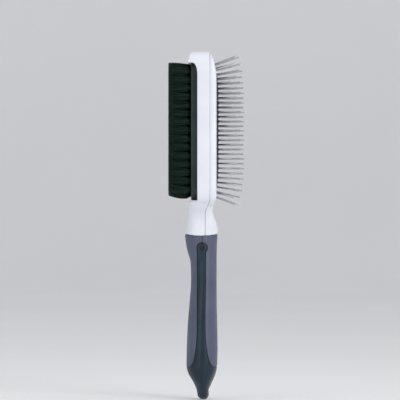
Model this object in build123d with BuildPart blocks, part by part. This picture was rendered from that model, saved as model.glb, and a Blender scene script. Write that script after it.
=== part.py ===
from build123d import *
from math import cos, radians, sin, sqrt, tan
from scipy.interpolate import PchipInterpolator
import os

# Double-sided grooming brush. One face of the head carries a block of bristle tufts, the other
# a domed rubber cushion with steel pins.
# X runs through the brush: the bristles point to -X and the pins to +X. Y is the width.
# Z runs up the handle to the head. The origin is the centre of the hanging hole in the tip.
# All sizes are in millimetres and all angles in degrees.

# ---- Driving dimensions: head ------------------------------------------------------------
head_width = 60.0
head_top = 219.3
head_bottom = 118.5
head_corner = 14.0
face_middle = 168.0            # height of the middle of both working faces
opening_width = 50.0
opening_length = 90.0
opening_corner = 9.0
wall = 3.0                     # side wall of the head
rail_back = -3.7               # bristle-side face of the side rails
rail_front = 8.7               # pin-side face of the side rails
rail_round = 2.2
lip = 1.2                      # lip that traps the flange of the bristle base
head_seam = 4.3                # parting line of the two frame halves along the head
collar_seam = 1.3              # the same line in the neck and the collar
hood_reach = -9.8              # raised hood above the bristle block
shoulder_top = 122.8           # raised shoulder below the bristle block

# ---- Driving dimensions: collar and handle -------------------------------------------------
collar_bottom = 100.4
collar_bow = 46.0              # radius of the bowed lower edge of the collar
collar_middle = -0.9
grip_thickness = 2.4
rail_recess = 0.5              # the dark side strips sit this far below the grips
strip_run_out = 16.0           # height above the tip over which that recess fades away
tip_top = 16.0
tip_end = -5.3
core_end = 6.0                 # the core inside the grips reaches down into the tip to here
hang_hole_radius = 2.5
hang_hole_dish = 3.1
hang_hole_length = 7.4
tang_depth = 8.0
tang_width = 10.0
tang_middle = 0.4
tang_bottom = 84.0
tang_play = 0.1
pin_height = 92.5              # cross pin that holds the tang in the handle
pin_offset = -0.6
cross_pin_radius = 1.1
boss_radius = 3.6              # round head of the dark side strip, around the cross pin

# ---- Driving dimensions: bristle side ------------------------------------------------------
base_face = -7.7
base_flange = 1.0
fit_gap = 0.2
tuft_pitch = 5.4
tuft_rows = 9
tufts_per_row = 16
tuft_root_radius = 1.55
tuft_tip_radius = 2.3
tuft_end = -22.3
tuft_seat = 5.0                # depth of the tuft holes
anchor_size = (0.35, 1.4, 2.6)

# ---- Driving dimensions: pin side ----------------------------------------------------------
plate_thickness = 1.0
dome_radius = 36.0             # curve of the cushion across the head
dome_top = 10.0
dome_foot = 1.9                # level where the dome meets its flange
membrane = 1.3
flange_thickness = 1.2
end_fan = 20.0                 # lean of the last pins in a row
end_reach = 42.0               # distance of the last pins from the middle of the face
pin_rows = 9
pins_per_row = 15
pin_pitch = 6.0
row_step = 8.3                 # angle between two rows
short_row_pins = 11            # pins in each outermost row
pin_radius = 0.45
pin_length = 16.9              # free length above the cushion
pin_head_radius = 1.0
pin_head_thickness = 0.5
pin_head_gap = 0.15
hole_play = 0.01
screw_radius = 1.0
screw_head_radius = 1.8
screw_length = 3.6

# ---- Worked-out dimensions -----------------------------------------------------------------
cavity_width = head_width - 2 * wall
cavity_length = opening_length + cavity_width - opening_width
cavity_corner = opening_corner + (cavity_width - opening_width) / 2
lip_inner = rail_back + lip
base_back = lip_inner + base_flange
plate_front = base_back + plate_thickness
flange_back = dome_foot - flange_thickness
dome_centre = dome_top - dome_radius
hood_bottom = face_middle + opening_length / 2
wide = 2 * head_width          # larger than the brush, for cutting and keeping whole regions

os.makedirs("parts", exist_ok=True)


def save(piece, label):
    """Label a finished piece and write it as one STEP file."""
    piece.part.label = label
    export_step(piece.part, f"parts/{label}.step")


def face_level(x):
    """Plane parallel to the working faces at level x, centred on them."""
    return Plane(origin=(x, 0, face_middle), x_dir=(0, 1, 0), z_dir=(1, 0, 0))


def face_outline(x, width, length, corner, inset=0.0):
    """Rounded rectangle on the working face at level x."""
    with BuildSketch(face_level(x)) as outline:
        RectangleRounded(width - 2 * inset, length - 2 * inset, corner - inset)
    return outline.sketch


# ---- White frame: head -----------------------------------------------------------------------
# The head is the crossing of its front outline and its side profile. A hood rises above the
# bristle block at the top end.
with BuildPart() as head_blank:
    with BuildSketch(Plane.YZ):
        with Locations((0, (head_top + head_bottom) / 2)):
            RectangleRounded(head_width, head_top - head_bottom, head_corner)
    extrude(amount=wide, both=True)
    with BuildSketch(Plane.XZ):
        with BuildLine():
            crown = Line((rail_back - 2.2, head_top), (rail_front - 5.5, head_top))
            brow = Spline(
                crown @ 1,
                (rail_front - 3.6, head_top - 2.2),
                (rail_front - 1.7, head_top - 6.6),
                (rail_front - 0.7, head_top - 11.4),
                (rail_front, head_top - 24),
                tangents=[(1, -0.3), (0, -1)],
            )
            front = Line(brow @ 1, (rail_front, head_bottom + 9))
            chin = Spline(
                front @ 1,
                (rail_front - 0.6, head_bottom + 4.7),
                (rail_front - 1.9, head_bottom + 2.1),
                (rail_front - 2.5, head_bottom),
                tangents=[(0, -1), (-0.1, -1)],
            )
            foot = Line(chin @ 1, (rail_back, head_bottom))
            back = Line(foot @ 1, (rail_back, hood_bottom - 10))
            eave = Spline(
                back @ 1,
                (rail_back - 0.6, hood_bottom - 5),
                (rail_back - 2.2, hood_bottom - 2.2),
                (hood_reach, hood_bottom - 2),
                tangents=[(0, 1), (-1, 0.1)],
            )
            Spline(
                eave @ 1,
                (hood_reach + 0.7, head_top - 4.6),
                crown @ 0,
                tangents=[(0, 1), (1, 0.2)],
            )
        make_face()
    extrude(amount=wide, both=True, mode=Mode.INTERSECT)

# ---- White frame: neck, collar and tang --------------------------------------------------------
# The neck flows from the shoulder under the bristle block into the round collar. Each station
# gives the height, the back, the front, the width and the corner radius.
neck_stations = [
    (shoulder_top, -8.8, 7.6, 51.0, 7.0),
    (118.0, -8.9, 6.5, 42.5, 6.6),
    (113.0, -9.3, 7.1, 33.5, 6.4),
    (108.0, -10.6, 9.0, 27.8, 7.0),
    (103.5, -11.4, 9.7, 25.4, 7.5),
    (98.0, -11.7, 9.8, 24.8, 7.5),
]

with BuildPart() as frame_blank:
    for height, back, front, width, corner in neck_stations:
        with BuildSketch(Plane.XY.offset(height)):
            with Locations(((back + front) / 2, 0)):
                RectangleRounded(front - back, width, corner)
    loft()
    with BuildSketch(Plane.XZ):
        with Locations((collar_middle, collar_bottom + collar_bow)):
            Circle(collar_bow)
    extrude(amount=wide, both=True, mode=Mode.INTERSECT)
    add(head_blank.part)
    with BuildSketch(Plane.XY.offset(tang_bottom)):
        with Locations((tang_middle, 0)):
            Rectangle(tang_depth, tang_width)
    extrude(amount=shoulder_top - 10 - tang_bottom)
    with BuildSketch(Plane.XZ):
        with Locations((pin_offset, pin_height)):
            Circle(cross_pin_radius)
    extrude(amount=wide, both=True, mode=Mode.SUBTRACT)

# The parting line runs straight down the head and steps back through the neck.
with BuildSketch(Plane.XZ) as bristle_half:
    with BuildLine():
        Polyline(
            (head_seam, head_top + 10),
            (head_seam, shoulder_top),
            (collar_seam, shoulder_top - 7),
            (collar_seam, tang_bottom - 10),
            (-wide, tang_bottom - 10),
            (-wide, head_top + 10),
            close=True,
        )
    make_face()

with BuildPart() as frame_bristle_side:
    add(frame_blank.part)
    extrude(bristle_half.sketch, amount=wide, both=True, mode=Mode.INTERSECT)
    cavity = face_outline(lip_inner, cavity_width, cavity_length, cavity_corner)
    extrude(cavity, amount=head_seam - lip_inner, mode=Mode.SUBTRACT)
    base_opening = face_outline(lip_inner, opening_width, opening_length, opening_corner)
    extrude(base_opening, amount=-wide, mode=Mode.SUBTRACT)
save(frame_bristle_side, "frame_bristle_side")

with BuildPart() as frame_pin_side:
    add(frame_blank.part)
    extrude(bristle_half.sketch, amount=wide, both=True, mode=Mode.SUBTRACT)
    front_rim = frame_pin_side.faces().filter_by(Axis.X).sort_by(Axis.X)[-1]
    fillet(front_rim.edges(), rail_round)
    skirt = face_outline(dome_foot, cavity_width, cavity_length, cavity_corner, inset=tang_play)
    extrude(skirt, amount=head_seam - dome_foot)
    cushion_opening = face_outline(dome_foot, opening_width, opening_length, opening_corner)
    extrude(cushion_opening, amount=wide, mode=Mode.SUBTRACT)
save(frame_pin_side, "frame_pin_side")

# ---- Handle ------------------------------------------------------------------------------------
# A rounded triangle in section: a broad front for the thumb on the pin side and a narrower back.
# Each station gives the height, the back, the front and the half width.
handle_stations = [
    (104.0, -11.7, 9.6, 12.4),
    (91.0, -10.3, 8.9, 12.0),
    (84.0, -8.1, 8.8, 11.6),
    (72.0, -7.7, 8.8, 11.5),
    (58.0, -8.6, 8.8, 11.9),
    (42.0, -9.9, 9.2, 12.6),
    (28.0, -10.5, 9.4, 12.9),
    (tip_top, -10.7, 9.1, 12.6),
    (12.0, -9.8, 8.4, 12.2),
    (9.0, -8.2, 7.3, 11.5),
    (6.0, -6.3, 5.9, 10.6),
    (3.0, -5.0, 4.7, 9.6),
    (0.8, -4.5, 4.0, 8.8),
    (-1.6, -4.1, 4.1, 7.6),
    (-3.4, -3.3, 3.6, 6.1),
    (-4.7, -2.1, 2.7, 4.0),
    (tip_end, -0.9, 1.6, 2.0),
]
grip_slices = 22               # slices of the handle above the tip, all equally thick
tip_slices = 12                # slices of the tip, thinner and thinner towards its end

eased_stations = PchipInterpolator(
    [height for height, *sizes in reversed(handle_stations)],
    [sizes for height, *sizes in reversed(handle_stations)],
)


def handle_section(height, back, front, half_width, inset=0.0):
    """One closed section of the handle, shrunk by inset all round."""
    depth = front - back - 2 * inset
    half = half_width - inset
    side = [(0.1, 0.6), (0.42, 1.0), (0.78, 0.74)]
    shape = [(0.0, 0.0)] + side + [(1.0, 0.0)] + [(x, -y) for x, y in reversed(side)]
    with BuildSketch(Plane.XY.offset(height)) as section:
        with BuildLine():
            Spline([(front - inset - depth * x, half * y) for x, y in shape], periodic=True)
        make_face()
    return section.sketch


def handle_form(inset=0.0, lowest=-wide, run_out=0.0):
    """The smooth form of the handle, shrunk by inset, down to the lowest height wanted.

    Over the height run_out above the tip, the inset fades away to nothing.
    """
    top = handle_stations[0][0]
    heights = [top - (top - tip_top) * i / grip_slices for i in range(grip_slices + 1)]
    heights += [
        tip_top - (tip_top - tip_end) * sin(radians(90 * i / tip_slices))
        for i in range(1, tip_slices + 1)
    ]
    sections = []
    for z in heights:
        share = min(1, max(0, z - tip_top) / run_out) if run_out else 1
        if z >= lowest:
            sections.append(handle_section(z, *eased_stations(z), inset=share * inset))
    with BuildPart() as form:
        loft(sections, ruled=True)
    return form.part


with BuildSketch(Plane.XZ) as below_collar:
    reach = 14.0
    bow_edge = collar_bottom + collar_bow - sqrt(collar_bow**2 - reach**2)
    with BuildLine():
        bow = ThreePointArc(
            (collar_middle - reach, bow_edge),
            (collar_middle, collar_bottom),
            (collar_middle + reach, bow_edge),
        )
        Polyline(bow @ 1, (wide, bow_edge), (wide, -wide), (-wide, -wide), (-wide, bow_edge), bow @ 0)
    make_face()

# The dark strip: a round boss about the cross pin, a straight run, and a flare into the tip.
with BuildSketch(Plane.XZ) as side_strip:
    with Locations((pin_offset, pin_height)):
        Circle(boss_radius)
    with BuildLine():
        shank = Line((-3.9, pin_height), (-3.9, 45))
        flare = Spline(shank @ 1, (-5.2, 24), (-8.5, tip_top), tangents=[(0, -1), (-1, -0.8)])
        bottom = Line(flare @ 1, (6.6, tip_top))
        rise = Spline(bottom @ 1, (3.0, 24), (1.4, 45), tangents=[(-1, 0.8), (0, 1)])
        Polyline(rise @ 1, (2.0, pin_height), shank @ 0)
    make_face()

with BuildPart() as tip:
    add(handle_form())
    split(bisect_by=Plane.XY.offset(tip_top), keep=Keep.BOTTOM)

with BuildPart() as handle_core:
    add(handle_form(rail_recess, lowest=core_end, run_out=strip_run_out))
    extrude(side_strip.sketch, amount=wide, both=True, mode=Mode.INTERSECT)
    add(handle_form(grip_thickness, lowest=core_end))
    add(tip.part)
    extrude(below_collar.sketch, amount=wide, both=True, mode=Mode.INTERSECT)
    with BuildSketch(Plane.XY.offset(tang_bottom - tang_play)):
        with Locations((tang_middle, 0)):
            Rectangle(tang_depth + 2 * tang_play, tang_width + 2 * tang_play)
    extrude(amount=wide, mode=Mode.SUBTRACT)
    with BuildSketch(Plane.XZ):
        with Locations((pin_offset, pin_height)):
            Circle(cross_pin_radius)
    extrude(amount=wide, both=True, mode=Mode.SUBTRACT)
    with BuildSketch(Plane.YZ):
        Circle(hang_hole_radius)
    extrude(amount=wide, both=True, mode=Mode.SUBTRACT)
    for side in (1, -1):
        with BuildSketch(Plane.YZ.offset(side * hang_hole_length / 2)):
            Circle(hang_hole_dish)
        extrude(amount=side * wide, mode=Mode.SUBTRACT)
save(handle_core, "handle_core")

with BuildPart() as grip_sleeve:
    add(handle_form())
    split(bisect_by=Plane.XY.offset(tip_top), keep=Keep.TOP)
    add(handle_form(grip_thickness, lowest=core_end), mode=Mode.SUBTRACT)
    extrude(side_strip.sketch, amount=wide, both=True, mode=Mode.SUBTRACT)
    extrude(below_collar.sketch, amount=wide, both=True, mode=Mode.INTERSECT)

for label, keep in (("grip_pin_side", Keep.TOP), ("grip_bristle_side", Keep.BOTTOM)):
    with BuildPart() as grip:
        add(grip_sleeve.part)
        split(bisect_by=Plane.YZ.offset(pin_offset), keep=keep)
    save(grip, label)

pin_reach = 11.4               # the cross pin ends just below the surface of the side strips
with BuildPart() as tang_pin:
    with BuildSketch(Plane.XZ):
        with Locations((pin_offset, pin_height)):
            Circle(cross_pin_radius)
    extrude(amount=pin_reach, both=True)
    chamfer(tang_pin.edges().filter_by(GeomType.CIRCLE), 0.25)
save(tang_pin, "tang_pin")

# ---- Bristle side ------------------------------------------------------------------------------
tuft_columns = [(i - (tuft_rows - 1) / 2) * tuft_pitch for i in range(tuft_rows)]
tuft_bottom = base_face + tuft_seat


def tuft_places(number):
    """Heights of the tufts in one row. Every second row sits half a pitch off."""
    count = tufts_per_row - number % 2
    return [(i - (count - 1) / 2) * tuft_pitch for i in range(count)]


all_tufts = [(y, z) for number, y in enumerate(tuft_columns, start=1) for z in tuft_places(number)]
screw_places = [
    (side * 2.5 * tuft_pitch, step * tuft_pitch) for side in (1, -1) for step in (-6.25, 0.25, 6.25)
]

with BuildPart() as base_screw:
    with BuildSketch(Plane.XY):
        with BuildLine():
            Polyline(
                (plate_front, 0),
                (plate_front, screw_head_radius),
                (base_back, screw_radius),
                (plate_front - screw_length, screw_radius),
                (plate_front - screw_length, 0),
                close=True,
            )
        make_face()
    revolve(axis=Axis.X)

with BuildPart() as base_screws:
    with Locations(*[(0, y, face_middle + z) for y, z in screw_places]):
        add(base_screw.part)
save(base_screws, "base_screws")

with BuildPart() as bristle_base:
    block = face_outline(base_face, opening_width, opening_length, opening_corner, inset=fit_gap)
    extrude(block, amount=base_back - base_face)
    block_rim = bristle_base.faces().sort_by(Axis.X)[0].edges()
    fillet(block_rim, 0.8)
    flange = face_outline(lip_inner, cavity_width, cavity_length, cavity_corner, inset=fit_gap)
    extrude(flange, amount=base_flange)
    with BuildSketch(face_level(base_face)):
        with Locations(*all_tufts):
            Circle(tuft_root_radius)
    extrude(amount=tuft_seat, mode=Mode.SUBTRACT)
    add(base_screws.part, mode=Mode.SUBTRACT)
save(bristle_base, "bristle_base")

with BuildPart() as tuft:
    with BuildSketch(Plane.XY):
        with BuildLine():
            Polyline(
                (tuft_bottom - anchor_size[0], 0),
                (tuft_bottom - anchor_size[0], tuft_root_radius),
                (base_face, tuft_root_radius),
                (tuft_end, tuft_tip_radius),
                (tuft_end, 0),
                close=True,
            )
        make_face()
    revolve(axis=Axis.X)

for number, y in enumerate(tuft_columns, start=1):
    with BuildPart() as bristle_row:
        with Locations(*[(0, y, face_middle + z) for z in tuft_places(number)]):
            add(tuft.part)
    save(bristle_row, f"bristle_row_{number}")

with BuildPart() as tuft_anchors:
    with Locations(*[(tuft_bottom - anchor_size[0] / 2, y, face_middle + z) for y, z in all_tufts]):
        Box(*anchor_size)
save(tuft_anchors, "tuft_anchors")

# ---- Pin side ----------------------------------------------------------------------------------
with BuildPart() as cushion_plate:
    plate = face_outline(base_back, cavity_width, cavity_length, cavity_corner, inset=fit_gap)
    extrude(plate, amount=flange_back - base_back)
    hollow = face_outline(plate_front, opening_width, opening_length, opening_corner)
    extrude(hollow, amount=wide, mode=Mode.SUBTRACT)
    add(base_screws.part, mode=Mode.SUBTRACT)
save(cushion_plate, "cushion_plate")


def end_droop(z):
    """How far the cushion falls away at a distance z from the middle of the face."""
    return tan(radians(end_fan)) * end_reach / 6 * (abs(z) / end_reach) ** 6


def dome_section(z, sink):
    """Slice through the space under the cushion's surface, or under its inside when sunk."""
    reach = 26.0
    drop = dome_radius - sqrt(dome_radius**2 - reach**2)
    top = dome_top - end_droop(z) - sink
    floor = dome_foot - 20
    with BuildSketch(Plane.XY.offset(face_middle + z)) as section:
        with BuildLine():
            arc = ThreePointArc((top - drop, -reach), (top, 0), (top - drop, reach))
            Polyline(arc @ 1, (floor, reach), (floor, -reach), arc @ 0)
        make_face()
    return section.sketch


def dome_space(sink, inset):
    """Everything under the dome and within the opening."""
    with BuildPart() as space:
        loft([dome_section(z, sink) for z in (-46, -43, -39, -34, -26, 0, 26, 34, 39, 43, 46)])
        column = face_outline(-wide, opening_width, opening_length, opening_corner, inset=inset)
        extrude(column, amount=2 * wide, mode=Mode.INTERSECT)
    return space.part


def pin_place(row, z):
    """Plane at the root of one pin, standing square to the dome and fanned out at the ends."""
    turn = radians(row * row_step)
    lean = radians(end_fan) * (abs(z) / end_reach) ** 5 * (1 if z > 0 else -1)
    root = (
        dome_centre + dome_radius * cos(turn) - end_droop(z),
        dome_radius * sin(turn),
        face_middle + z,
    )
    direction = (cos(turn) * cos(lean), sin(turn) * cos(lean), sin(lean))
    return Plane(origin=root, z_dir=direction)


def row_places(row):
    """Planes of the pins in one row. Odd rows sit half a pitch off and the outermost are short."""
    outermost = abs(row) == (pin_rows - 1) // 2
    count = short_row_pins if outermost else pins_per_row - row % 2
    return [pin_place(row, (i - (count - 1) / 2) * pin_pitch) for i in range(count)]


head_front = -membrane - pin_head_gap

with BuildPart() as cushion_pin:
    with BuildSketch(Plane.XZ):
        with BuildLine():
            Polyline(
                (0, head_front - pin_head_thickness),
                (pin_head_radius, head_front - pin_head_thickness),
                (pin_head_radius, head_front),
                (pin_radius, head_front),
                (pin_radius, pin_length),
                (0, pin_length),
                close=True,
            )
        make_face()
    revolve(axis=Axis.Z)
    fillet(cushion_pin.edges().sort_by(Axis.Z)[-1], 0.38)

middle_row = (pin_rows - 1) // 2
for row in range(-middle_row, middle_row + 1):
    with BuildPart() as pin_row:
        with Locations(*row_places(row)):
            add(cushion_pin.part)
    save(pin_row, f"pin_row_{row + middle_row + 1}")

with BuildPart() as pin_hole:
    Cylinder(pin_radius + hole_play, 3 * membrane)

with BuildPart() as pin_holes:
    for row in range(-middle_row, middle_row + 1):
        with Locations(*row_places(row)):
            add(pin_hole.part)

with BuildPart() as pin_cushion:
    rim = face_outline(flange_back, cavity_width, cavity_length, cavity_corner, inset=fit_gap)
    extrude(rim, amount=flange_thickness)
    add(dome_space(0, fit_gap), mode=Mode.ADD)
    add(dome_space(membrane, fit_gap + membrane), mode=Mode.SUBTRACT)
    with BuildSketch(face_level(flange_back)):
        Rectangle(wide, wide)
    extrude(amount=-wide, mode=Mode.SUBTRACT)
    add(pin_holes.part, mode=Mode.SUBTRACT)
save(pin_cushion, "pin_cushion")
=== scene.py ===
import math
import random

import bmesh
import bpy
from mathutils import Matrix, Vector


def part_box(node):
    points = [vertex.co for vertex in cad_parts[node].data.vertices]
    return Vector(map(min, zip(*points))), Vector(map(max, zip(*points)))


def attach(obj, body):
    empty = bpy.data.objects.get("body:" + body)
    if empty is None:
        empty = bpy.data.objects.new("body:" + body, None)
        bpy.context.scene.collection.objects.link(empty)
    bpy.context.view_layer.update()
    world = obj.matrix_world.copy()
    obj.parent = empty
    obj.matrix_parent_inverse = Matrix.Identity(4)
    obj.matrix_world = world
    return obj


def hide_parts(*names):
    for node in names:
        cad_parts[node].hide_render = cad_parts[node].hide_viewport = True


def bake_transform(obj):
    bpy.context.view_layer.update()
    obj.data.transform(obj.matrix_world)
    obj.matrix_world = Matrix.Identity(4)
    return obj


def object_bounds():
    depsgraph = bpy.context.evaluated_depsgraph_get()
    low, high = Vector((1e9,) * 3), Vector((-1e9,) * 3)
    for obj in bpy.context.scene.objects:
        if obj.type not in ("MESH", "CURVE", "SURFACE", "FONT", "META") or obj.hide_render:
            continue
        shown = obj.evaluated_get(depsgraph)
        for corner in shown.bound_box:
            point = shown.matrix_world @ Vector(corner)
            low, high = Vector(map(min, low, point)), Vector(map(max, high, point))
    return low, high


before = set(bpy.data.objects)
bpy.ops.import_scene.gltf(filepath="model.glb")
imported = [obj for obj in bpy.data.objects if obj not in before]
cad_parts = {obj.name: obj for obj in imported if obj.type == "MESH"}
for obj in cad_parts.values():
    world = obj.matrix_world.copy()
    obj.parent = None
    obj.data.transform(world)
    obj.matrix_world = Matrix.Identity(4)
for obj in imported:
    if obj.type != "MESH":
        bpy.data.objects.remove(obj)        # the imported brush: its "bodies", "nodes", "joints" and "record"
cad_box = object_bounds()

# Looks of the double-sided grooming brush. X runs through the brush, with the bristles towards -X
# and the pins towards +X. Y is its width and Z runs up the handle to the head. Lengths are in metres.

MM = 0.001
random.seed(11)


# ---- Helpers -----------------------------------------------------------------------------------
def middle(node):
    """Centre of a CAD node's box."""
    low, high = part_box(node)
    return (Vector(low) + Vector(high)) / 2


def add_object(name, data):
    """A new object in the scene."""
    piece = bpy.data.objects.new(name, data)
    bpy.context.scene.collection.objects.link(piece)
    return piece


def shade_smooth(piece):
    """Smooth shading all over."""
    for face in piece.data.polygons:
        face.use_smooth = True


def apply_modifiers(piece):
    """Keep the shape that the modifiers make and drop the modifiers."""
    graph = bpy.context.evaluated_depsgraph_get()
    final = bpy.data.meshes.new_from_object(piece.evaluated_get(graph))
    piece.modifiers.clear()
    piece.data = final


def mesh_piece(name, points, faces, material):
    """A smooth mesh object from points and faces."""
    mesh = bpy.data.meshes.new(name)
    mesh.from_pydata(points, [], faces)
    mesh.update()
    piece = add_object(name, mesh)
    mesh.materials.append(material)
    shade_smooth(piece)
    return piece


def softened(node, name, material, voxel, passes):
    """A fine copy of a moulded CAD piece of the frame, with rounded edges, standing for the node."""
    piece = add_object(name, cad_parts[node].data.copy())
    remesh = piece.modifiers.new("fine", "REMESH")
    remesh.mode = "VOXEL"
    remesh.voxel_size = voxel
    smooth = piece.modifiers.new("round", "SMOOTH")
    smooth.factor = 0.5
    smooth.iterations = passes
    apply_modifiers(piece)
    piece.data.materials.clear()
    piece.data.materials.append(material)
    shade_smooth(piece)
    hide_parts(node)
    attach(piece, "frame")


def finish_node(node, material):
    """Give a CAD node that stays its real material."""
    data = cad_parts[node].data
    data.materials.clear()
    data.materials.append(material)


FACE_MIDDLE = middle("bristle_base").z      # height of the middle of both working faces


# ---- Materials ---------------------------------------------------------------------------------
def principled(name, roughness, metallic=0.0, coat=0.0, sheen=0.0, specular=0.5):
    """An empty node material with its constant values on the shader's own sockets."""
    material = bpy.data.materials.new(name)
    material.use_nodes = True
    shader = material.node_tree.nodes["Principled BSDF"]
    shader.inputs["Roughness"].default_value = roughness
    shader.inputs["Metallic"].default_value = metallic
    shader.inputs["Coat Weight"].default_value = coat
    shader.inputs["Coat Roughness"].default_value = 0.12
    shader.inputs["Sheen Weight"].default_value = sheen
    shader.inputs["Specular IOR Level"].default_value = specular
    return material, material.node_tree, shader


def noise_field(tree, scale, detail=3.0, stretch=(1, 1, 1)):
    """Noise in the object's own space. The scale is in waves per metre."""
    place = tree.nodes.new("ShaderNodeTexCoord")
    mapping = tree.nodes.new("ShaderNodeMapping")
    mapping.inputs["Scale"].default_value = stretch
    field = tree.nodes.new("ShaderNodeTexNoise")
    field.inputs["Scale"].default_value = scale
    field.inputs["Detail"].default_value = detail
    tree.links.new(place.outputs["Object"], mapping.inputs["Vector"])
    tree.links.new(mapping.outputs["Vector"], field.inputs["Vector"])
    return field.outputs["Fac"]


def color_between(tree, shader, field, dark, light, low=0.35, high=0.65):
    """Drive the base colour from a noise field."""
    ramp = tree.nodes.new("ShaderNodeValToRGB")
    ramp.color_ramp.elements[0].position = low
    ramp.color_ramp.elements[1].position = high
    ramp.color_ramp.elements[0].color = (*dark, 1)
    ramp.color_ramp.elements[1].color = (*light, 1)
    tree.links.new(field, ramp.inputs["Fac"])
    tree.links.new(ramp.outputs["Color"], shader.inputs["Base Color"])


def roughness_between(tree, shader, field, low, high):
    """Drive the roughness from a noise field."""
    spread = tree.nodes.new("ShaderNodeMapRange")
    spread.inputs["From Min"].default_value = 0.3
    spread.inputs["From Max"].default_value = 0.7
    spread.inputs["To Min"].default_value = low
    spread.inputs["To Max"].default_value = high
    tree.links.new(field, spread.inputs["Value"])
    tree.links.new(spread.outputs["Result"], shader.inputs["Roughness"])


def bump_from(tree, shader, field, height, strength=1.0):
    """Raise the surface by a noise field. The height is in metres."""
    bump = tree.nodes.new("ShaderNodeBump")
    bump.inputs["Distance"].default_value = height
    bump.inputs["Strength"].default_value = strength
    tree.links.new(field, bump.inputs["Height"])
    tree.links.new(bump.outputs["Normal"], shader.inputs["Normal"])


def moulded(name, dark, light, roughness, grain, relief, coat=0.0, sheen=0.0, specular=0.5):
    """Moulded plastic or rubber: a slight cloudiness of colour and gloss, and a fine surface grain."""
    material, tree, shader = principled(name, roughness, coat=coat, sheen=sheen, specular=specular)
    clouds = noise_field(tree, 60)
    color_between(tree, shader, clouds, dark, light)
    roughness_between(tree, shader, noise_field(tree, 240), roughness * 0.85, roughness * 1.15)
    bump_from(tree, shader, noise_field(tree, grain), relief)
    return material


def steel(name, color, roughness, scratch):
    """Drawn steel with fine marks along X."""
    material, tree, shader = principled(name, roughness, metallic=1.0)
    marks = noise_field(tree, scratch, stretch=(0.05, 1, 1))
    color_between(tree, shader, marks, tuple(c * 0.88 for c in color), color)
    roughness_between(tree, shader, marks, roughness * 0.8, roughness * 1.3)
    return material


def bristle_fibre(name):
    """Dark bristle: shades change from one fibre to the next, and the green cast of both shades is painted
    reflection.
    """
    material, tree, shader = principled(name, 0.46, specular=0.3)
    fibres = noise_field(tree, 2600, stretch=(0.02, 1, 1))
    color_between(tree, shader, fibres, (0.0015, 0.008, 0.005), (0.008, 0.038, 0.026))
    return material


WHITE = moulded("white_abs", (0.76, 0.78, 0.85), (0.80, 0.82, 0.88), 0.2, 900, 4e-6, coat=0.35)
# Painted reflection: the grip panels get a light plum-grey, far lighter than the dark slate core, standing in
# for light reflected along the handle's sides.
GRIP = moulded(
    "soft_touch_painted_reflection", (0.076, 0.090, 0.138), (0.096, 0.110, 0.166),
    0.5, 5200, 2.5e-5, specular=0.4,
)
CORE = moulded(
    "slate_plastic", (0.007, 0.019, 0.032), (0.013, 0.029, 0.046),
    0.36, 3800, 1.5e-5, specular=0.32,
)
BLOCK = moulded(
    "bristle_block", (0.014, 0.026, 0.028), (0.023, 0.039, 0.042),
    0.42, 2600, 1.5e-5, specular=0.4,
)
RUBBER = moulded(
    "cushion_rubber", (0.008, 0.008, 0.010), (0.014, 0.014, 0.016),
    0.55, 4200, 2e-5, specular=0.35,
)
PLATE = moulded("plate_plastic", (0.6, 0.6, 0.63), (0.68, 0.68, 0.7), 0.5, 2500, 1e-5)
PIN_STEEL = steel("pin_steel", (0.57, 0.57, 0.59), 0.25, 3000)
SCREW_STEEL = steel("screw_steel", (0.55, 0.55, 0.56), 0.34, 2200)
ANCHOR = steel("anchor_wire", (0.6, 0.6, 0.6), 0.4, 2600)
PIN_DARK = moulded(
    "dark_pin", (0.008, 0.010, 0.014), (0.012, 0.015, 0.019),
    0.35, 2600, 1e-5, specular=0.4,
)
FIBRE = bristle_fibre("bristle_fibre")


# ---- Moulded pieces ----------------------------------------------------------------------------
def moulded_pieces():
    """Frame, bristle block and handle: the CAD pieces with moulded edges."""
    softened("frame_bristle_side", "shell_bristle_side", WHITE, 0.42 * MM, 7)
    softened("frame_pin_side", "shell_pin_side", WHITE, 0.42 * MM, 7)
    softened("bristle_base", "tuft_block", BLOCK, 0.45 * MM, 5)
    softened("grip_bristle_side", "grip_back", GRIP, 0.4 * MM, 6)
    softened("grip_pin_side", "grip_front", GRIP, 0.4 * MM, 6)
    softened("handle_core", "core_and_tip", CORE, 0.42 * MM, 6)
    finish_node("cushion_plate", PLATE)
    finish_node("base_screws", SCREW_STEEL)
    finish_node("tuft_anchors", ANCHOR)
    finish_node("tang_pin", PIN_DARK)


# ---- Bristles ----------------------------------------------------------------------------------
TUFT_ROWS = 9
TUFT_PITCH = 5.4 * MM
TUFT_TIP_RADIUS = 2.3 * MM
FIBRES_PER_TUFT = 150
FIBRE_RADIUS = 0.13 * MM
FIBRE_TIP_TAPER = 0.45
FIBRE_STEPS = 5
FIBRE_ROOT = -7.1 * MM          # just inside the face of the block
ROOT_SPREAD = 1.55 * MM
TIP_SPREAD = 3.2 * MM
TIP_SCATTER = 0.28 * MM
TRIM_SCATTER = 0.45 * MM
BOW_SCATTER = 0.16 * MM
BEND_START = 28 * MM            # tufts further below the middle of the face than this are bent
BEND_LENGTH = 12.5 * MM
TIP_RISE = 2.0 * MM
ROOT_SAG = 2.4 * MM


def end_bend(z, t):
    """How fibres near the lower end of the block bow down at their roots and up at their tips."""
    below = FACE_MIDDLE - z - BEND_START
    amount = max(0.0, below / BEND_LENGTH) ** 1.5
    return amount * (TIP_RISE * t ** 2 - ROOT_SAG * math.sqrt(t) * (1 - t))


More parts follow.
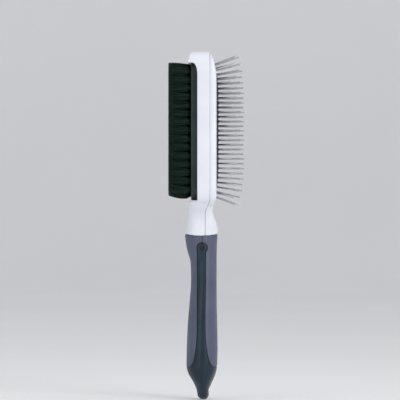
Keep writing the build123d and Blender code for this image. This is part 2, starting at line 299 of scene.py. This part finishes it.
def fibre_path(y, z, tip_x):
    """Centre line of one fibre, from its hole in the block to its trimmed tip."""
    reach = math.sqrt(random.random())
    turn = random.uniform(0, 2 * math.pi)
    side, rise = reach * math.cos(turn), reach * math.sin(turn)
    tip_y = y + TIP_SPREAD * side + random.gauss(0, TIP_SCATTER)
    tip_z = z + TIP_SPREAD * rise + random.gauss(0, TIP_SCATTER)
    tip_x += abs(random.gauss(0, TRIM_SCATTER))
    bow = random.gauss(0, BOW_SCATTER)
    path = []
    for step in range(FIBRE_STEPS):
        t = step / (FIBRE_STEPS - 1)
        open_out = t ** 0.6
        wave = bow * math.sin(math.pi * t)
        path.append((
            FIBRE_ROOT + (tip_x - FIBRE_ROOT) * t,
            (y + ROOT_SPREAD * side) * (1 - open_out) + tip_y * open_out + wave,
            (z + ROOT_SPREAD * rise) * (1 - open_out) + tip_z * open_out - wave + end_bend(z, t),
        ))
    return path


def add_fibre(points, faces, path):
    """Add one closed three-sided fibre that tapers at its tip."""
    first = len(points)
    start = random.uniform(0, 2 * math.pi)
    for step, (x, y, z) in enumerate(path):
        radius = FIBRE_RADIUS * (FIBRE_TIP_TAPER if step == len(path) - 1 else 1.0)
        for corner in range(3):
            turn = start + 2 * math.pi * corner / 3
            points.append((x, y + radius * math.cos(turn), z + radius * math.sin(turn)))
    for step in range(len(path) - 1):
        low = first + 3 * step
        for corner in range(3):
            after = (corner + 1) % 3
            faces.append((low + corner, low + 3 + corner, low + 3 + after, low + after))
    last = len(points) - 3
    faces.append((first, first + 1, first + 2))
    faces.append((last + 2, last + 1, last))


def bristle_rows():
    """Dense tufts of separate fibres, row by row."""
    for row in range(1, TUFT_ROWS + 1):
        node = f"bristle_row_{row}"
        low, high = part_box(node)
        row_y = (low[1] + high[1]) / 2
        count = round((high[2] - low[2] - 2 * TUFT_TIP_RADIUS) / TUFT_PITCH) + 1
        points, faces = [], []
        for tuft in range(count):
            z = low[2] + TUFT_TIP_RADIUS + tuft * TUFT_PITCH
            for _ in range(FIBRES_PER_TUFT):
                add_fibre(points, faces, fibre_path(row_y, z, low[0]))
        piece = mesh_piece(f"bristles_{row}", points, faces, FIBRE)
        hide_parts(node)
        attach(piece, "frame")


# ---- Pins and cushion --------------------------------------------------------------------------
DOME_RADIUS = 36.0 * MM
DOME_TOP = 10.0 * MM
DOME_FOOT = 1.85 * MM
END_FAN = math.radians(20)
END_REACH = 42.0 * MM
PIN_ROWS = 9
OUTER_ROW = PIN_ROWS // 2       # rows are numbered from the middle one
PIN_PITCH = 6.0 * MM
PINS_PER_ROW = 15
SHORT_ROW_PINS = 11
ROW_STEP = math.radians(8.3)
PIN_RADIUS = 0.45 * MM
PIN_LENGTH = 16.9 * MM
PIN_SIDES = 16
HEAD_RADIUS = 1.0 * MM
HEAD_FRONT = -1.45 * MM
HEAD_BACK = -1.95 * MM


def end_droop(z):
    """How far the cushion falls away at a distance z from the middle of the face."""
    return math.tan(END_FAN) * END_REACH / 6 * (abs(z) / END_REACH) ** 6


def pin_line(row, z):
    """Root and direction of one pin. z is measured from the middle of the face."""
    turn = row * ROW_STEP
    lean = math.copysign(END_FAN * (abs(z) / END_REACH) ** 5, z)
    dome_centre = DOME_TOP - DOME_RADIUS
    root = Vector((
        dome_centre + DOME_RADIUS * math.cos(turn) - end_droop(z),
        DOME_RADIUS * math.sin(turn),
        FACE_MIDDLE + z,
    ))
    flat = math.cos(lean)
    return root, Vector((math.cos(turn) * flat, math.sin(turn) * flat, math.sin(lean)))


def row_lines(row):
    """Roots and directions of the pins in one row. Odd rows sit half a pitch off."""
    outermost = abs(row) == OUTER_ROW
    count = SHORT_ROW_PINS if outermost else PINS_PER_ROW - row % 2
    return [pin_line(row, (i - (count - 1) / 2) * PIN_PITCH) for i in range(count)]


def pin_profile():
    """Distance along the pin and radius: a flat head, a straight shank and a rounded point."""
    profile = [(HEAD_BACK, HEAD_RADIUS), (HEAD_FRONT, HEAD_RADIUS), (HEAD_FRONT, PIN_RADIUS)]
    profile.append((0.0, PIN_RADIUS))
    tip_start = PIN_LENGTH - PIN_RADIUS
    for step in range(6):
        turn = math.radians(15 * step)
        profile.append((tip_start + PIN_RADIUS * math.sin(turn), PIN_RADIUS * math.cos(turn)))
    return profile


def add_lathed(points, faces, root, direction, profile, sides):
    """Add one closed turned shape about a line."""
    side = direction.orthogonal().normalized()
    up = direction.cross(side)
    first = len(points)
    for along, radius in profile:
        for corner in range(sides):
            turn = 2 * math.pi * corner / sides
            point = root + direction * along + (side * math.cos(turn) + up * math.sin(turn)) * radius
            points.append(tuple(point))
    for ring in range(len(profile) - 1):
        low = first + ring * sides
        for corner in range(sides):
            after = (corner + 1) % sides
            faces.append((low + corner, low + after, low + sides + after, low + sides + corner))
    faces.append(tuple(first + corner for corner in reversed(range(sides))))
    last = len(points) - sides
    faces.append(tuple(last + corner for corner in range(sides)))


def steel_pins():
    """Headed steel pins with rounded points, row by row."""
    profile = pin_profile()
    for number in range(1, PIN_ROWS + 1):
        row = number - 1 - OUTER_ROW
        points, faces = [], []
        for root, direction in row_lines(row):
            add_lathed(points, faces, root, direction, profile, PIN_SIDES)
        piece = mesh_piece(f"pins_{number}", points, faces, PIN_STEEL)
        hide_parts(f"pin_row_{number}")
        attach(piece, "pin_field")


# ---- Cushion skin ------------------------------------------------------------------------------
SKIN_STEP = 0.5 * MM
SKIN_COLUMNS = 107
SKIN_ROWS = 187
SKIN_THICKNESS = 1.0 * MM
SKIN_END = 44.6 * MM            # distance from the middle of the face where the dome meets the flange
SKIN_ROLL = 1.8 * MM
SKIN_SHARPNESS = 0.5 * MM       # how tightly the dome turns into the flange
FLANGE_HALF_WIDTH = 26.6 * MM
FLANGE_HALF_LENGTH = 46.6 * MM
FLANGE_CORNER = 10.8 * MM
COLLAR_HEIGHT = 0.35 * MM
COLLAR_RADIUS = 0.95 * MM
COLLAR_CELLS = 4                # a collar reaches this many grid cells to each side of its pin


def skin_level(y, z):
    """Level of the rubber skin at a place on the face, measured from the face's middle."""
    dome = DOME_TOP - DOME_RADIUS + math.sqrt(DOME_RADIUS ** 2 - y ** 2) - end_droop(z)
    near = min(1.0, max(0.0, (SKIN_END - abs(z)) / SKIN_ROLL))
    dome = DOME_FOOT + (dome - DOME_FOOT) * math.sqrt(1 - (1 - near) ** 2)
    rise = (dome - DOME_FOOT) / SKIN_SHARPNESS
    return DOME_FOOT + SKIN_SHARPNESS * (math.log1p(math.exp(-abs(rise))) + max(rise, 0.0))


def inside_flange(point):
    """Whether a point of the skin lies within the rounded edge of the cushion's flange."""
    beyond_y = max(0.0, abs(point.y) - (FLANGE_HALF_WIDTH - FLANGE_CORNER))
    beyond_z = max(0.0, abs(point.z - FACE_MIDDLE) - (FLANGE_HALF_LENGTH - FLANGE_CORNER))
    return math.hypot(beyond_y, beyond_z) <= FLANGE_CORNER


def skin_grid():
    """Points of the domed skin, column by column."""
    points = []
    for column in range(SKIN_COLUMNS):
        y = (column - (SKIN_COLUMNS - 1) / 2) * SKIN_STEP
        for row in range(SKIN_ROWS):
            z = (row - (SKIN_ROWS - 1) / 2) * SKIN_STEP
            points.append(Vector((skin_level(y, z), y, FACE_MIDDLE + z)))
    return points


def near_cells(middle_cell, count):
    """Grid cells about a pin, in one direction."""
    return range(max(0, middle_cell - COLLAR_CELLS), min(count, middle_cell + COLLAR_CELLS + 1))


def raise_collar(points, root, direction):
    """Push the skin out into a small collar about one pin."""
    column = round(root.y / SKIN_STEP + (SKIN_COLUMNS - 1) / 2)
    row = round((root.z - FACE_MIDDLE) / SKIN_STEP + (SKIN_ROWS - 1) / 2)
    for i in near_cells(column, SKIN_COLUMNS):
        for j in near_cells(row, SKIN_ROWS):
            point = points[i * SKIN_ROWS + j]
            away = (point - root).cross(direction).length
            point += direction * COLLAR_HEIGHT * math.exp(-((away / COLLAR_RADIUS) ** 4))


def skin_faces(points):
    """Grid faces that lie wholly on the flange or the dome."""
    faces = []
    for column in range(SKIN_COLUMNS - 1):
        for row in range(SKIN_ROWS - 1):
            corner = column * SKIN_ROWS + row
            after = corner + SKIN_ROWS
            face = (corner, after, after + 1, corner + 1)
            if all(inside_flange(points[index]) for index in face):
                faces.append(face)
    return faces


def drop_loose_points(piece):
    """Delete the points that no face uses."""
    body = bmesh.new()
    body.from_mesh(piece.data)
    bmesh.ops.delete(body, geom=[v for v in body.verts if not v.link_faces], context="VERTS")
    body.to_mesh(piece.data)
    body.free()


def rubber_cushion():
    """Domed rubber skin with a small raised collar about each pin."""
    points = skin_grid()
    for row in range(-OUTER_ROW, OUTER_ROW + 1):
        for root, direction in row_lines(row):
            raise_collar(points, root, direction)
    piece = mesh_piece("cushion_skin", [tuple(p) for p in points], skin_faces(points), RUBBER)
    drop_loose_points(piece)
    wall = piece.modifiers.new("wall", "SOLIDIFY")
    wall.thickness = SKIN_THICKNESS
    wall.offset = -1
    apply_modifiers(piece)
    shade_smooth(piece)
    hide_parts("pin_cushion")
    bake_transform(piece)


# ---- Stage -------------------------------------------------------------------------------------
FLOOR_GAP = 0.1 * MM            # the floor lies just below the tip of the handle
SWEEP_STEPS = 12
CAMERA_DISTANCE = 2.2
VIEW_WIDTH = 0.2585             # width of what the camera takes in at the brush
LAMP_SPREAD = math.radians(70)


def add_stage():
    """A round pale floor that sweeps up into a wall on every side."""
    floor = cad_box[0][2] - FLOOR_GAP
    reach, sweep, wall_top, sides = 2.6, 0.5, 3.0, 96
    profile = [(0.05, floor)]
    for step in range(SWEEP_STEPS + 1):
        turn = math.radians(90 * step / SWEEP_STEPS)
        profile.append((reach + sweep * math.sin(turn), floor + sweep * (1 - math.cos(turn))))
    profile.append((reach + sweep, wall_top))
    points = []
    for radius, z in profile:
        for side in range(sides):
            turn = 2 * math.pi * side / sides
            points.append((radius * math.cos(turn), radius * math.sin(turn), z))
    faces = [tuple(range(sides))]
    for ring in range(len(profile) - 1):
        low = ring * sides
        for side in range(sides):
            after = (side + 1) % sides
            faces.append((low + side, low + sides + side, low + sides + after, low + after))
    paper, tree, shader = principled("backdrop", 0.9, specular=0.1)
    color_between(tree, shader, noise_field(tree, 3), (0.80, 0.805, 0.815), (0.82, 0.825, 0.835))
    shader.inputs["Emission Color"].default_value = (0.97, 0.98, 1.0, 1)
    shader.inputs["Emission Strength"].default_value = 0.16
    mesh_piece("backdrop", points, faces, paper)


def add_light(name, place, aim, size, power, spread=math.pi):
    """A rectangular softbox aimed at a point. A narrow spread keeps its light off the floor."""
    lamp = bpy.data.lights.new(name, "AREA")
    lamp.shape = "RECTANGLE"
    lamp.size, lamp.size_y = size
    lamp.energy = power
    lamp.spread = spread
    light = add_object(name, lamp)
    light.location = place
    light.visible_camera = False
    light.rotation_euler = (Vector(aim) - Vector(place)).to_track_quat("-Z", "Y").to_euler()


def add_lights():
    """Soft studio light: a wide ceiling, a key from the right and a weaker fill from the left.

    The view transform is Standard, so that dark plastics and bristles keep their real depth.
    """
    target = (0, 0, 0.12)
    add_light("ceiling", (0, -0.2, 2.6), (0, -0.2, 0), (3.2, 3.2), 29)
    add_light("key", (0.6, -0.75, 0.45), target, (0.5, 0.8), 0.95, LAMP_SPREAD)
    add_light("fill", (-0.7, -0.65, 0.3), target, (0.4, 0.8), 0.31, LAMP_SPREAD)
    world = bpy.data.worlds.new("soft_room")
    bpy.context.scene.world = world
    world.use_nodes = True
    sky = world.node_tree.nodes["Background"]
    sky.inputs["Color"].default_value = (0.92, 0.94, 1.0, 1)
    sky.inputs["Strength"].default_value = 0.1
    bpy.context.scene.view_settings.view_transform = "Standard"


def add_camera():
    """A long lens square to the brush's edge, level with the middle of the picture."""
    lens = bpy.data.cameras.new("camera")
    lens.sensor_width = 36
    lens.lens = lens.sensor_width * CAMERA_DISTANCE / VIEW_WIDTH
    camera = add_object("camera", lens)
    camera.location = (-0.0019, -CAMERA_DISTANCE, 0.1234)
    camera.rotation_euler = (math.radians(90), 0, 0)
    bpy.context.scene.camera = camera


add_stage()
add_lights()
add_camera()
moulded_pieces()
bristle_rows()
steel_pins()
rubber_cushion()
